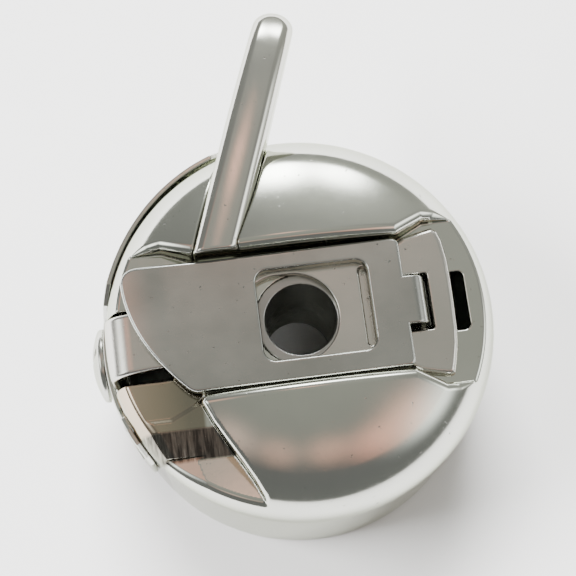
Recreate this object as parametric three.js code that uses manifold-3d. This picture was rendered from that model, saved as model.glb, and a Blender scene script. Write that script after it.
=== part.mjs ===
// Front-loading bobbin case with position finger, latch lever and latch slide.
// Millimetres. Drawn with the origin on the case axis in the plane of the open
// rim, +Z out of the latch face, +X along the latch channel to the hinge end and
// +Y to the finger, then moved so that the origin is under the middle.
import * as THREE from 'three';
import { mergeVertices } from 'three/addons/utils/BufferGeometryUtils.js';
import Module from 'manifold-3d';

const wasm = await Module();
wasm.setup();

// ---------------------------------------------------------------- dimensions
const AXIS_X = 0.607;            // where the case axis stands in the finished frame
const AXIS_Y = -3.7105;
const CASE_R = 22.8 / 2;         // outer wall
const BORE_R = 10.45;            // bobbin space, for a 20.3 mm bobbin
const INNER_FACE_Z = 11.8;       // the bobbin's end stop
const FLOOR_Z = 13.0;            // channel floor
const CHANNEL_HALF = 4.12;       // half width beside the lever
const CHANNEL_END_HALF = 4.82;   // half width at both ends

const TUBE_BORE_R = 4.24 / 2;
const TUBE_R = 5.9 / 2;
const TUBE_NECK_R = 5.3 / 2;
const TUBE_END_Z = 3.4;

const SLIDE_T = 0.52;
const SLIDE_Z0 = FLOOR_Z + 0.04;
const SLIDE_Z1 = SLIDE_Z0 + SLIDE_T;
const LUG_X0 = -7.2;             // spring lug under the slide
const LUG_X1 = -6.8;
const SPRING_X0 = LUG_X1 + 0.04;
const SPRING_X1 = -3.34;
const SPRING_Y = -0.75;
const SPRING_Z = 12.52;

const LEVER_T = 0.75;
const LEVER_Z0 = SLIDE_Z1 + 0.04;
const LEVER_Z1 = LEVER_Z0 + LEVER_T;
const PIN_X = 7.0;
const PIN_Z = 12.45;
const PIN_R = 0.30;
const PIN_HALF = 3.3;            // half length

const FINGER_Z0 = 12.9;
const FINGER_Z1 = 15.3;
const FINGER_ROOT = [-4.38, 4.1];
const FINGER_TIP = [0.92, 18.75];
const FINGER_ROOT_HALF = 2.55 / 2; // half widths
const FINGER_TIP_HALF = 2.42 / 2;

const LEAF_R0 = CASE_R + 0.03;   // tension spring leaf, inner and outer radius
const LEAF_T = 0.30;
const LEAF_R1 = LEAF_R0 + LEAF_T;

// Screws in the wall: angle and slot tilt in degrees, lengths in millimetres
const TENSION_SCREW = {
  angle: 180, z: 6.9, headR: 2.25, shankR: 0.75, slotWidth: 0.5, slotDepth: 0.42, slotTilt: 20,
};
const CLAMP_SCREW = {
  angle: 205, z: 7.0, headR: 1.2, shankR: 0.6, slotWidth: 0.35, slotDepth: 0.18, slotTilt: 25,
};
const SCREW_TIP_R = 10.62;       // distance of both screw tips from the case axis
const SCREW_TIP_CHAMFER = 0.15;
const CLAMP_CONE_R0 = LEAF_R0 - 0.01; // where the countersink starts, from the case axis

const ABOVE = 17;                // cutters end here, clear above the case
const BEYOND = 13;               // and here, clear outside the wall
const RAD = Math.PI / 180;

// ------------------------------------------------------------------- helpers
function solid(geometry) {
  geometry.deleteAttribute('normal');
  geometry.deleteAttribute('uv');
  const merged = mergeVertices(geometry, 1e-4);
  return new wasm.Manifold(new wasm.Mesh({
    numProp: 3,
    vertProperties: new Float32Array(merged.attributes.position.array),
    triVerts: new Uint32Array(merged.index.array),
  }));
}

const vectors = points => points.map(([x, y]) => new THREE.Vector2(x, y));
const around = (centre, half) => [centre - half, centre + half];
const subtractAll = (blank, cutters) => cutters.reduce((rest, cut) => rest.subtract(cut), blank);

function polygon(points) {
  const shape = new THREE.Shape(vectors(points));
  shape.closePath();
  return shape;
}

function extrude(shape, depth) {
  return new THREE.ExtrudeGeometry(shape, { depth, bevelEnabled: false, curveSegments: 24 });
}

// Outline (x, y), as points or a shape, raised along Z
function plate(outline, z0, z1) {
  const shape = Array.isArray(outline) ? polygon(outline) : outline;
  return solid(extrude(shape, z1 - z0).translate(0, 0, z0));
}

// Shape (x, y) raised along Z, with rounded edges
function roundedPlate(shape, z0, z1, radius, bevelSegments) {
  const geometry = new THREE.ExtrudeGeometry(shape, {
    depth: z1 - z0 - 2 * radius,
    bevelEnabled: true,
    bevelThickness: radius,
    bevelSize: radius,
    bevelOffset: -radius,
    bevelSegments,
    curveSegments: 14,
  });
  return solid(geometry.translate(0, 0, z0 + radius));
}

// Outline (x, z) widened along Y
function sidePlate(points, y0, y1) {
  return solid(extrude(polygon(points), y1 - y0).rotateX(Math.PI / 2).translate(0, y1, 0));
}

// Outline (y, z) lengthened along X
function endPlate(points, x0, x1) {
  const geometry = extrude(polygon(points), x1 - x0);
  return solid(geometry.rotateX(Math.PI / 2).rotateZ(Math.PI / 2).translate(x0, 0, 0));
}

// Profile (radius, z) turned about the case axis
function turned(profile, segments) {
  return solid(new THREE.LatheGeometry(vectors(profile), segments).rotateX(Math.PI / 2));
}

// Profile (radius, distance from the case axis) turned about a screw's axis
function turnedAtScrew(profile, screw) {
  const geometry = new THREE.LatheGeometry(vectors(profile), 48);
  geometry.rotateZ(-Math.PI / 2).rotateZ(screw.angle * RAD);
  return solid(geometry.translate(0, 0, screw.z));
}

function cylinder(radius, z0, z1, segments) {
  const geometry = new THREE.CylinderGeometry(radius, radius, z1 - z0, segments);
  return solid(geometry.rotateX(Math.PI / 2).translate(0, 0, (z0 + z1) / 2));
}

// Cylinder about the hinge pin's axis
function hingeCylinder(radius, y0, y1, segments) {
  const geometry = new THREE.CylinderGeometry(radius, radius, y1 - y0, segments);
  return solid(geometry.translate(PIN_X, (y0 + y1) / 2, PIN_Z));
}

function box([x0, x1], [y0, y1], [z0, z1]) {
  const geometry = new THREE.BoxGeometry(x1 - x0, y1 - y0, z1 - z0);
  return solid(geometry.translate((x0 + x1) / 2, (y0 + y1) / 2, (z0 + z1) / 2));
}

function roundedRect([x0, x1], [y0, y1], r) {
  const shape = new THREE.Shape();
  shape.moveTo(x0 + r, y0);
  shape.lineTo(x1 - r, y0);
  shape.absarc(x1 - r, y0 + r, r, -Math.PI / 2, 0, false);
  shape.lineTo(x1, y1 - r);
  shape.absarc(x1 - r, y1 - r, r, 0, Math.PI / 2, false);
  shape.lineTo(x0 + r, y1);
  shape.absarc(x0 + r, y1 - r, r, Math.PI / 2, Math.PI, false);
  shape.lineTo(x0, y0 + r);
  shape.absarc(x0 + r, y0 + r, r, Math.PI, 1.5 * Math.PI, false);
  return shape;
}

// Points on an arc, both ends included; angles in degrees
function arc(centreX, centreY, radius, from, to, steps) {
  return Array.from({ length: steps + 1 }, (_, i) => {
    const angle = (from + (to - from) * i / steps) * RAD;
    return [centreX + radius * Math.cos(angle), centreY + radius * Math.sin(angle)];
  });
}

// ------------------------------------------------------------ position finger
const fingerRun = [FINGER_TIP[0] - FINGER_ROOT[0], FINGER_TIP[1] - FINGER_ROOT[1]];
const FINGER_LENGTH = Math.hypot(...fingerRun);
const [alongX, alongY] = fingerRun.map(run => run / FINGER_LENGTH);

// Plan point at a distance along the finger from its root and across its centre line
function fingerPoint(along, across) {
  return [
    FINGER_ROOT[0] + alongX * along - alongY * across,
    FINGER_ROOT[1] + alongY * along + alongX * across,
  ];
}

function fingerStrip(from, to, half) {
  return [[from, -half], [to, -half], [to, half], [from, half]].map(p => fingerPoint(...p));
}

// Everything on the finger side of a given y
const beyondY = y => box([-20, 20], [y, 30], [0, 18]);

function makeFinger() {
  const taperStart = 8;
  const outline = [
    fingerPoint(-0.05, -FINGER_ROOT_HALF),
    fingerPoint(taperStart, -FINGER_ROOT_HALF),
    ...arc(FINGER_LENGTH - FINGER_TIP_HALF, 0, FINGER_TIP_HALF, -90, 90, 16)
      .map(p => fingerPoint(...p)),
    fingerPoint(taperStart, FINGER_ROOT_HALF),
    fingerPoint(-0.05, FINGER_ROOT_HALF),
  ];
  const bar = roundedPlate(polygon(outline), FINGER_Z0, FINGER_Z1, 0.45, 4);
  // the bar's inner end is let into the solid face, flat below the crown
  const innerEnd = plate(fingerStrip(-1, 6.5, FINGER_ROOT_HALF), FINGER_Z0, FINGER_Z0 + 1.2);
  const clearOfChannel = beyondY(CHANNEL_HALF + 0.06);
  return bar.intersect(clearOfChannel).add(innerEnd.intersect(clearOfChannel));
}

// ------------------------------------------------------------------ case body
function caseBlank() {
  const rimChamfer = 0.18;
  const crownR = 9.0;       // where the crown runs into the rounded shoulder
  const crownSlope = 22;    // slope of the crown there, degrees
  const crownZ = r => 15.6 - 0.011864 * r * r - 6.531e-5 * r ** 4;
  const shoulderR = (CASE_R - crownR) / (1 - Math.sin(crownSlope * RAD));
  const shoulderZ = crownZ(crownR) - shoulderR * Math.cos(crownSlope * RAD);
  const profile = [
    [0, 0], [CASE_R - rimChamfer, 0], [CASE_R, rimChamfer],
    ...arc(CASE_R - shoulderR, shoulderZ, shoulderR, 0, 90 - crownSlope, 16),
  ];
  const crownSteps = 9;
  for (let i = 1; i <= crownSteps; i++) {
    const r = crownR * (1 - i / crownSteps);
    profile.push([r, crownZ(r)]);
  }
  return turned(profile, 144);
}

function bobbinSpace() {
  const mouth = 0.15;                 // chamfer at the rim
  const corner = 0.45;                // corner at the inner face, in two flats
  const cornerMiddle = 0.13;
  return turned([
    [0, -1], [BORE_R + mouth, -1], [BORE_R + mouth, 0], [BORE_R, mouth],
    [BORE_R, INNER_FACE_Z - corner], [BORE_R - cornerMiddle, INNER_FACE_Z - cornerMiddle],
    [BORE_R - corner, INNER_FACE_Z], [0, INNER_FACE_Z],
  ], 144);
}

function latchChannel() {
  const flare = 0.05; // extra half width at two of the corners
  return plate([
    [-BEYOND, -CHANNEL_END_HALF], [-8.0, -CHANNEL_END_HALF], [-6.2, -CHANNEL_HALF],
    [6.0, -CHANNEL_HALF + flare], [7.7, -CHANNEL_END_HALF], [BEYOND, -CHANNEL_END_HALF],
    [BEYOND, CHANNEL_END_HALF], [7.7, CHANNEL_END_HALF], [6.0, CHANNEL_HALF],
    [-5.6, CHANNEL_HALF + flare], [-7.6, CHANNEL_END_HALF], [-BEYOND, CHANNEL_END_HALF],
  ], FLOOR_Z, ABOVE);
}

// Finger nail recess below the lever's free end: a landing with its slope, and a ramp
function nailRecess() {
  // plan outline (x, y)
  const outline = [
    [-BEYOND, -2.4], [-6.0, -2.4], [-6.15, -4.35], [-5.65, -5.5], [-5.0, -6.65],
    [-4.3, -7.85], [-3.75, -8.9], [-3.35, -9.85], [-3.0, -BEYOND], [-BEYOND, -BEYOND],
  ];
  const landingZ = FLOOR_Z - 0.02;
  const landing = endPlate([
    [-2.4, landingZ], [-2.4, ABOVE], [-13, ABOVE], [-13, 13.2], [-7.25, 12.3], [-5.5, landingZ],
  ], -BEYOND, -2.5);
  // the underside of this tilted block is the ramp
  const ramp = new THREE.BoxGeometry(14, 12, 6).translate(0, -6, 3);
  ramp.rotateY(-11.3 * RAD).rotateX(-5.7 * RAD).translate(-7.2, -7.05, 12.2);
  const recess = plate(outline, 11.9, ABOVE);
  return [recess.intersect(landing), recess.intersect(solid(ramp))];
}

// Slot running up the wall and under the tension spring
function threadSlot() {
  const slot = new THREE.BoxGeometry(3, 0.55, 9).translate(CASE_R, 0, 3.2);
  return solid(slot.rotateZ(97 * RAD));
}

function screwBore(screw, radius) {
  const start = 9.5;
  return turnedAtScrew([[0, start], [radius, start], [radius, BEYOND], [0, BEYOND]], screw);
}

function makeBody() {
  const tabPassage = box([-BEYOND, -7.6], [-2.75, 1.68], [9.55, ABOVE]);
  const tongueSlot = plate(roundedRect([6.2, 9.65], [-1.73, 1.73], 0.35), 11, ABOVE);
  const pinGroove = box(
    around(PIN_X, PIN_R + 0.02), around(0, PIN_HALF + 0.03), [PIN_Z - PIN_R - 0.01, ABOVE],
  );
  const springPocket = box(
    [LUG_X0 - 0.06, SPRING_X1 + 0.02], around(SPRING_Y, 0.56), [SPRING_Z - 0.47, ABOVE],
  );
  const tubeSeat = cylinder(TUBE_NECK_R + 0.01, 11, ABOVE, 96);
  // cut from the channel wall to the outside
  const fingerSlot = plate(fingerStrip(-3, 9, FINGER_ROOT_HALF + 0.015), FINGER_Z0, ABOVE)
    .intersect(beyondY(CHANNEL_HALF - 0.6));
  return subtractAll(caseBlank(), [
    bobbinSpace(),
    latchChannel(),
    ...nailRecess(),
    tabPassage,
    tongueSlot,
    pinGroove,
    springPocket,
    tubeSeat,
    fingerSlot,
    threadSlot(),
    screwBore(TENSION_SCREW, TENSION_SCREW.shankR + 0.04),
    screwBore(CLAMP_SCREW, CLAMP_SCREW.shankR + 0.01),
  ]);
}

// ------------------------------------------------------------------ stud tube
function makeTube() {
  const endInner = 0.12; // chamfers
  const endOuter = 0.3;
  const neckInner = 0.14;
  const neckZ = INNER_FACE_Z - 0.01;
  return turned([
    [TUBE_BORE_R, TUBE_END_Z + endInner], [TUBE_BORE_R + endInner, TUBE_END_Z],
    [TUBE_R - endOuter, TUBE_END_Z], [TUBE_R, TUBE_END_Z + endOuter],
    [TUBE_R, neckZ], [TUBE_NECK_R, neckZ], [TUBE_NECK_R, FLOOR_Z],
    [TUBE_BORE_R + neckInner, FLOOR_Z], [TUBE_BORE_R, FLOOR_Z - neckInner],
    [TUBE_BORE_R, TUBE_END_Z + endInner],
  ], 96);
}

// ---------------------------------------------------------------- latch slide
const SLIDE_HALF = 3.55;   // half width under the lever
const TAB_Y0 = -2.2;       // bobbin retaining tab
const TAB_Y1 = 1.42;

// Outline (x, y) of the slide's hinge end
const SLIDE_HINGE_END = [
  [6.4, -4.0], [7.3, -4.22], [8.0, -4.36], [8.28, -4.28], [8.46, -3.67],
  [8.68, -2.71], [8.79, -1.8], [8.85, -0.06], [8.86, 1.14], [8.83, 2.4],
  [8.67, 3.58], [8.48, 4.14], [8.18, 4.4], [7.3, 4.24], [6.4, 4.03],
];

// Tab folded down over the wall, narrowed on its -Y edge where it leaves the plate
function retainingTab() {
  const outerX = -(CASE_R - 0.04);
  const endZ = 9.8;
  const endChamfer = 0.15;
  const bendR = 2.1;
  const rootX = -8.8;
  const bend = radius => arc(outerX + bendR, SLIDE_Z1 - bendR, radius, 90, 180, 12);
  const tab = sidePlate([
    [rootX, SLIDE_Z1], ...bend(bendR),
    [outerX, endZ + endChamfer], [outerX + endChamfer, endZ], [outerX + SLIDE_T, endZ],
    ...bend(bendR - SLIDE_T).reverse(), [rootX, SLIDE_Z0],
  ], TAB_Y0, TAB_Y1);
  return tab.subtract(plate([
    [-7, TAB_Y0 + 0.75], [-8.7, TAB_Y0 + 0.62], [-10.9, TAB_Y0], [-10.9, -5], [-7, -5],
  ], 12, ABOVE));
}

function makeSlide() {
  const strip = plate([
    [-6.9, -SLIDE_HALF + 1.3], [-5.9, -SLIDE_HALF], [5.6, -SLIDE_HALF],
    ...SLIDE_HINGE_END,
    [5.6, SLIDE_HALF], [-6.6, SLIDE_HALF], [-7.3, TAB_Y1 + 0.7], [-7.8, TAB_Y1],
    [-9, TAB_Y1], [-9, TAB_Y0 + 0.5], [-7.6, TAB_Y0 + 0.75],
  ], SLIDE_Z0, SLIDE_Z1);
  const springLug = box(
    [LUG_X0, LUG_X1], around(SPRING_Y, 0.5), [SPRING_Z - 0.42, SLIDE_Z0 + 0.2],
  );
  const lockHoleR = 2.6;
  const lockingHole = plate([
    ...arc(-0.5, 0, lockHoleR, -90, 90, 28),
    ...arc(-1.05, 0, lockHoleR, 90, 270, 28),
  ], 12, ABOVE);
  const tongueWindow = plate(roundedRect([6.0, 7.5], [-1.6, 1.72], 0.15), 12, ABOVE);
  return strip.add(retainingTab())
    .intersect(cylinder(CASE_R - 0.02, 0, 20, 144))
    .add(springLug)
    .subtract(lockingHole)
    .subtract(tongueWindow);
}

// ---------------------------------------------------------------- latch lever
function leverOutline() {
  const shape = new THREE.Shape();
  shape.moveTo(-6.3, -3.74);
  shape.lineTo(-4.52, -3.75);
  shape.lineTo(1.1, -3.74);
  shape.lineTo(5.64, -3.72);
  shape.quadraticCurveTo(6.05, -3.72, 6.05, -3.3);
  shape.lineTo(6.05, 3.35);
  shape.quadraticCurveTo(6.05, 3.82, 5.5, 3.84);
  shape.lineTo(0.4, 3.82);
  shape.lineTo(-4.8, 3.77);
  shape.lineTo(-8.9, 3.86);
  shape.quadraticCurveTo(-9.95, 3.88, -10.04, 3.0);
  shape.bezierCurveTo(-10.0, 1.3, -9.3, -0.4, -8.3, -1.75);
  shape.quadraticCurveTo(-7.5, -2.8, -7.0, -3.3);
  shape.quadraticCurveTo(-6.65, -3.7, -6.3, -3.74);
  return shape;
}

function makeLever() {
  const tongueY0 = -1.32;
  const tongueY1 = 1.5;
  // tongue, curled down to the hinge barrel
  const tongue = sidePlate([
    [PIN_X - 1.5, LEVER_Z0], [PIN_X - 0.62, LEVER_Z0], [PIN_X - 0.45, LEVER_Z0 - 0.1],
    [PIN_X - 0.4, LEVER_Z0 - 0.25], [PIN_X - 0.4, PIN_Z], [PIN_X + 0.2, PIN_Z],
    ...arc(PIN_X - 0.55, LEVER_Z0, LEVER_T, 0, 90, 10),
    [PIN_X - 1.5, LEVER_Z1],
  ], tongueY0, tongueY1);
  return roundedPlate(leverOutline(), LEVER_Z0, LEVER_Z1, 0.16, 3)
    .add(tongue)
    .add(hingeCylinder(0.57, tongueY0, tongueY1, 40))
    .subtract(hingeCylinder(0.335, -4, 4, 32))
    .subtract(plate(roundedRect([-2.37, 4.06], [-2.5, 2.8], 0.7), 13, ABOVE));
}

// ------------------------------------------------------------------ hinge pin
function makePin() {
  const chamfer = 0.08;
  const profile = [ // (radius, y)
    [0, -PIN_HALF], [PIN_R - chamfer, -PIN_HALF], [PIN_R, -PIN_HALF + chamfer],
    [PIN_R, PIN_HALF - chamfer], [PIN_R - chamfer, PIN_HALF], [0, PIN_HALF],
  ];
  return solid(new THREE.LatheGeometry(vectors(profile), 32).translate(PIN_X, 0, PIN_Z));
}

// --------------------------------------------------------------- latch spring
const COIL_R = 0.35;
const COIL_WIRE = 0.14;    // wire diameter
const COIL_TURNS = 6;

class Coil extends THREE.Curve {
  getPoint(t, target = new THREE.Vector3()) {
    const angle = 2 * Math.PI * COIL_TURNS * t;
    const x = SPRING_X0 + COIL_WIRE / 2 + (SPRING_X1 - SPRING_X0 - COIL_WIRE) * t;
    const y = SPRING_Y + COIL_R * Math.cos(angle);
    return target.set(x, y, SPRING_Z + COIL_R * Math.sin(angle));
  }
}

function makeSpring() {
  const wire = new THREE.Shape();
  wire.absarc(0, 0, COIL_WIRE / 2, 0, 2 * Math.PI, false);
  return solid(new THREE.ExtrudeGeometry(wire, {
    steps: 150, extrudePath: new Coil(), curveSegments: 4, bevelEnabled: false,
  }));
}

// ------------------------------------------------------------- tension spring
// Edges of the leaf (angle about the case axis in degrees, z): free tongue, full
// width past it, narrow band at the tension screw and clamped end
const LEAF_UPPER = [
  [104, 10.6], [107, 11.0], [110, 11.2], [160, 11.2], [166, 10.6], [170, 9.35],
  [196, 9.35], [200, 10.4], [204, 10.9], [209, 10.6], [213, 9.6], [217, 8.3],
];
const LEAF_LOWER = [
  [104, 9.0], [110, 7.9], [120, 6.4], [132, 5.0], [146, 4.2], [165, 4.0],
  [200, 4.0], [209, 4.4], [213, 5.2], [217, 6.3],
];

// Curved strip seen along Z
function leafBand() {
  const freeAngle = 107;
  const endAngle = 215;
  const liftAngle = 160;   // from here to the free end the leaf leaves the wall for the thread
  const lift = 0.22;
  const steps = 60;
  const inner = [];
  const outer = [];
  for (let i = 0; i <= steps; i++) {
    const angle = freeAngle + (endAngle - freeAngle) * i / steps;
    const part = Math.max(0, (liftAngle - angle) / (liftAngle - freeAngle));
    const r = LEAF_R0 + lift * (1 - Math.cos(Math.PI * part)) / 2;
    const cos = Math.cos(angle * RAD);
    const sin = Math.sin(angle * RAD);
    inner.push([r * cos, r * sin]);
    outer.push([(r + LEAF_T) * cos, (r + LEAF_T) * sin]);
  }
  return plate([...inner.reverse(), ...outer], 3.5, 11.4);
}

// Flat outline of the leaf, driven outward through the band at its middle angle
function leafOutline() {
  const middle = 166;
  const meanR = 11.6;
  const flatten = ([angle, z]) => [meanR * Math.sin((angle - middle) * RAD), z];
  const outline = polygon([...LEAF_UPPER, ...LEAF_LOWER.slice().reverse()].map(flatten));
  const geometry = extrude(outline, 9).translate(0, 0, 4);
  return solid(geometry.rotateX(Math.PI / 2).rotateZ((middle + 90) * RAD));
}

function makeLeaf() {
  const fit = 0.012;
  const { headR, shankR } = CLAMP_SCREW;
  const countersink = turnedAtScrew([
    [0, CLAMP_CONE_R0 - 1], [shankR + fit, CLAMP_CONE_R0 - 1], [shankR + fit, CLAMP_CONE_R0],
    [headR + fit, LEAF_R1], [headR + fit, LEAF_R1 + 1], [0, LEAF_R1 + 1],
  ], CLAMP_SCREW);
  return leafBand()
    .intersect(leafOutline())
    .subtract(screwBore(TENSION_SCREW, 1.05))
    .subtract(countersink);
}

// --------------------------------------------------------------------- screws
// Driver slot cut into a head whose top is at topR from the case axis
function driverSlot(screw, topR) {
  const depth = 2;
  const slot = new THREE.BoxGeometry(depth, screw.slotWidth, 2 * screw.headR + 1);
  slot.translate(topR - screw.slotDepth + depth / 2, 0, 0);
  slot.rotateX(screw.slotTilt * RAD).rotateZ(screw.angle * RAD);
  return solid(slot.translate(0, 0, screw.z));
}

const shankProfile = ({ shankR }, headStart) => [
  [0, SCREW_TIP_R], [shankR - SCREW_TIP_CHAMFER, SCREW_TIP_R],
  [shankR, SCREW_TIP_R + SCREW_TIP_CHAMFER], [shankR, headStart],
];

function makeTensionScrew() {
  const { headR } = TENSION_SCREW;
  const headStart = LEAF_R1 + 0.03;
  const domeStart = headStart + 0.32;
  const top = 12.62;
  const chamfer = 0.1;
  const domeSteps = 8;
  const profile = shankProfile(TENSION_SCREW, headStart);
  profile.push([headR - chamfer, headStart], [headR, headStart + chamfer]);
  for (let i = 0; i < domeSteps; i++) {
    const angle = i / domeSteps * Math.PI / 2;
    profile.push([headR * Math.cos(angle), domeStart + (top - domeStart) * Math.sin(angle)]);
  }
  profile.push([0, top]);
  return turnedAtScrew(profile, TENSION_SCREW).subtract(driverSlot(TENSION_SCREW, top));
}

function makeClampScrew() {
  const profile = [
    ...shankProfile(CLAMP_SCREW, CLAMP_CONE_R0),
    [CLAMP_SCREW.headR, LEAF_R1], [0, LEAF_R1 + 0.06],
  ];
  return turnedAtScrew(profile, CLAMP_SCREW).subtract(driverSlot(CLAMP_SCREW, LEAF_R1));
}

// ------------------------------------------------------------------- assembly
const group = new THREE.Group();
group.name = 'bobbin_case';

// Adds a piece in bare metal, moved from the case axis to the finished frame
function addPiece(name, piece, { color, roughness }) {
  const { vertProperties, triVerts } = piece.getMesh();
  const geometry = new THREE.BufferGeometry();
  geometry.setAttribute('position', new THREE.Float32BufferAttribute(vertProperties, 3));
  geometry.setIndex(new THREE.Uint32BufferAttribute(triVerts, 1));
  geometry.computeVertexNormals();
  geometry.translate(AXIS_X, AXIS_Y, 0);
  const material = new THREE.MeshStandardMaterial({ color, roughness, metalness: 1.0 });
  const mesh = new THREE.Mesh(geometry, material);
  mesh.name = name;
  group.add(mesh);
}

const SCREW_METAL = { color: 0xadadaa, roughness: 0.25 };

addPiece('case_body', makeBody(), { color: 0xb9bab6, roughness: 0.16 });
addPiece('position_finger', makeFinger(), { color: 0xb4b4b0, roughness: 0.18 });
addPiece('stud_tube', makeTube(), { color: 0xa9a9a6, roughness: 0.3 });
addPiece('latch_slide', makeSlide(), { color: 0xa6a6a1, roughness: 0.3 });
addPiece('latch_lever', makeLever(), { color: 0x9c9c97, roughness: 0.32 });
addPiece('latch_hinge_pin', makePin(), { color: 0xa8a8a5, roughness: 0.3 });
addPiece('latch_spring', makeSpring(), { color: 0x8f8f8c, roughness: 0.35 });
addPiece('tension_spring', makeLeaf(), { color: 0xb2b3b0, roughness: 0.2 });
addPiece('tension_adjusting_screw', makeTensionScrew(), SCREW_METAL);
addPiece('tension_clamp_screw', makeClampScrew(), SCREW_METAL);

export default group;
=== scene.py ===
# A sewing machine bobbin case. The open rim is at z = 0 and the crowned top, with the latch
# in its channel, faces +z. The position finger points to +y; the tension leaf and its screws
# wrap the -x side. Shapes are in millimetres from the case axis; meshes are in metres.
import bpy
import bmesh
import itertools
import math
import numpy as np
from mathutils import Matrix, Vector


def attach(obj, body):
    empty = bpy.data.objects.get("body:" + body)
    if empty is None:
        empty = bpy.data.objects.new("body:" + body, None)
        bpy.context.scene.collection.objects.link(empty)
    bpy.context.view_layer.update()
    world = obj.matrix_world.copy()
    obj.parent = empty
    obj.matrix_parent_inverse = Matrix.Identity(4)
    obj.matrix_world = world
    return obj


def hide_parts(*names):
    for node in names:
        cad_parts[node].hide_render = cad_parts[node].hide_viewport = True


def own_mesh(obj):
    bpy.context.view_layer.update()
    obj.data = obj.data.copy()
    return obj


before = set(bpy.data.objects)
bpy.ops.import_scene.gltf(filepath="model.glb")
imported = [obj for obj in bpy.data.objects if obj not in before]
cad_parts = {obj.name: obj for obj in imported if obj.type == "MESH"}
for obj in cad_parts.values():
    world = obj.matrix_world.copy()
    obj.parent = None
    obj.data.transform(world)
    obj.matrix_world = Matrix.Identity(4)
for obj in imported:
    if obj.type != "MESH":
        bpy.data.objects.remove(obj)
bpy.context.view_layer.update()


F = np.float32
RAD = math.pi / 180

# ---------------------------------------------------------- shared dimensions
AXIS = (0.607, -3.7105)     # x, y of the case axis in the frame
R_OUT, R_IN = 11.4, 10.45   # shell wall
Z_IN = 11.8                 # ceiling of the cavity
Z_FLOOR = 13.0              # floor of the latch channel
CHANNEL_HALF = 3.98         # half width of the channel, and at its flared ends
CHANNEL_FLARE = 4.82
PIN_X, PIN_Z = 7.0, 12.45   # hinge pin, lying along y
PIN_R, PIN_HALF = 0.30, 3.3
NECK_R = 2.65               # neck of the stud sleeve
THREAD_DEG = 97.0           # azimuth of the thread slot
SCREW_Z, SCREW_R = 6.9, 0.75            # tension screw, at azimuth 180
CLAMP_Z, CLAMP_R, CLAMP_DEG = 7.0, 0.6, 205.0
CONE_U, CONE_SLOPE = 11.42, 1.935       # clamp screw cone: where it starts, radius gain
SCREW_TIP = 10.62           # inner end of both screws, from the axis
SPRING_Y, SPRING_Z = -0.75, 12.52       # centreline of the latch coil


# ------------------------------------------------------------ distance fields
# A field is negative inside the shape; soft is the radius of the blended edge.
def inter(a, b, soft):
    u = np.maximum(soft + a, 0)
    v = np.maximum(soft + b, 0)
    return np.minimum(-soft, np.maximum(a, b)) + np.sqrt(u * u + v * v)


def sub(a, b, soft):
    return inter(a, -b, soft)


def poly(x, y, points):
    """Signed distance to a closed outline."""
    nearest = np.full(x.shape, 1e9, F)
    sign = np.ones(x.shape, F)
    for i, (x0, y0) in enumerate(points):
        x1, y1 = points[i - 1]
        ex, ey = x1 - x0, y1 - y0
        wx, wy = x - x0, y - y0
        t = np.clip((wx * ex + wy * ey) / (ex * ex + ey * ey), 0, 1)
        bx, by = wx - ex * t, wy - ey * t
        nearest = np.minimum(nearest, bx * bx + by * by)
        above, below, left = y >= y0, y < y1, ex * wy > ey * wx
        flip = (above & below & left) | (~above & ~below & ~left)
        sign = np.where(flip, -sign, sign)
    return sign * np.sqrt(nearest)


def rect(x, y, x0, x1, y0, y1, corner):
    qx = np.abs(x - (x0 + x1) / 2) - ((x1 - x0) / 2 - corner)
    qy = np.abs(y - (y0 + y1) / 2) - ((y1 - y0) / 2 - corner)
    outside = np.hypot(np.maximum(qx, 0), np.maximum(qy, 0))
    return outside + np.minimum(np.maximum(qx, qy), 0) - corner


def turned(x, y, cos, sin):
    """Coordinates along and across a direction."""
    return x * cos + y * sin, y * cos - x * sin


def turned_by(x, y, degrees):
    return turned(x, y, math.cos(degrees * RAD), math.sin(degrees * RAD))


def bezier(steps, *control):
    """Points of a Bezier curve, leaving out its start."""
    n = len(control) - 1
    return [tuple(sum(math.comb(n, k) * (1 - t) ** (n - k) * t ** k * p[axis]
                      for k, p in enumerate(control)) for axis in (0, 1))
            for t in (i / steps for i in range(1, steps + 1))]


# --------------------------------------------------------------------- mesher
BLOCK = 8    # grid points along the side of a sampling block


def add_object(name, data):
    ob = bpy.data.objects.new(name, data)
    bpy.context.scene.collection.objects.link(ob)
    return ob


def sample(shape, low, high, step):
    """Field values on a grid. Blocks away from the surface only hold a sign."""
    count = [math.ceil((b - a) / step / BLOCK) * BLOCK for a, b in zip(low, high)]
    axes = [(low[i] + step * np.arange(count[i])).astype(F) for i in range(3)]
    blocks = [k // BLOCK for k in count]
    centres = [(low[i] + step * (np.arange(blocks[i]) * BLOCK + (BLOCK - 1) / 2)).astype(F)
               for i in range(3)]
    grid = np.meshgrid(*centres, indexing="ij")
    coarse = shape(*[g.ravel() for g in grid]).reshape(blocks)
    active = np.argwhere(np.abs(coarse) < step * BLOCK * 0.87 + 0.12)
    values = np.where(coarse < 0, F(-1), F(1))
    for axis in range(3):
        values = np.repeat(values, BLOCK, axis)
    local = [g.ravel() for g in np.meshgrid(*[np.arange(BLOCK)] * 3, indexing="ij")]
    for first in range(0, len(active), 3000):
        start = active[first:first + 3000] * BLOCK
        at = [(start[:, i:i + 1] + local[i]).ravel() for i in range(3)]
        values[tuple(at)] = shape(*[axes[i][at[i]] for i in range(3)])
    return values


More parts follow.
